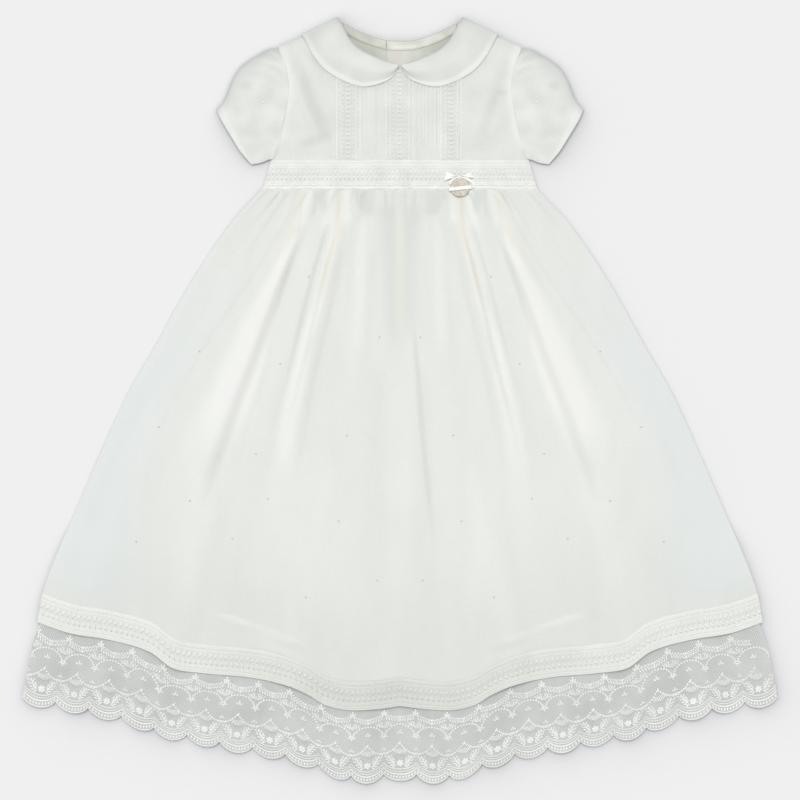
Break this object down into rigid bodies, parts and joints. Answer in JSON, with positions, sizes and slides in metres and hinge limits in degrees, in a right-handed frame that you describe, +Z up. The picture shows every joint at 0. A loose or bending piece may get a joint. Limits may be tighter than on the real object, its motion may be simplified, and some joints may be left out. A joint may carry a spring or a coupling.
{
  "type": "christening gown",
  "caption": "Long white christening gown for a baby, laid flat, with a round collar, cap sleeves, a tucked lace bodice, a ribbon bow and a scalloped lace hem ruffle.",
  "frame": {"origin": "middle of the gown's outline, on the surface that it lies on", "axes": "+X to the viewer's right, +Y towards the collar, +Z up out of the surface"},
  "size_m": [0.739, 0.7508, 0.0116],
  "materials": {
    "organza": "sheer white organza with woven dots",
    "lining": "plain fine white lining cloth",
    "bodice_cloth": "plain fine ivory-white cloth",
    "lace": "white insertion lace",
    "net_lace": "white embroidery on fine net",
    "satin": "narrow white satin ribbon",
    "charm": "mottled beige disc, slightly shiny",
    "pearl": "pearly white button"
  },
  "bodies": {
    "root": {"bodice_back_left": "bodice_cloth", "bodice_back_right": "bodice_cloth", "bodice_front": "bodice_cloth", "bow_loop_left": "satin", "bow_loop_right": "satin", "button_1": "pearl", "button_2": "pearl", "button_3": "pearl", "charm_disc": "charm", "collar_left": "bodice_cloth", "collar_right": "bodice_cloth", "hem_band_back": "lace", "hem_band_front": "lace", "lace_strip_centre": "lace", "lace_strip_left": "lace", "lace_strip_right": "lace", "lining_back": "lining", "lining_front": "lining", "neck_binding_left": "satin", "neck_binding_right": "satin", "ribbon_bar": "satin", "ruffle_back": "net_lace", "ruffle_front": "net_lace", "skirt_back": "organza", "skirt_front": "organza", "sleeve_left": "bodice_cloth", "sleeve_right": "bodice_cloth", "waistband_back": "lace", "waistband_front": "lace"}
  },
  "joints": []
}
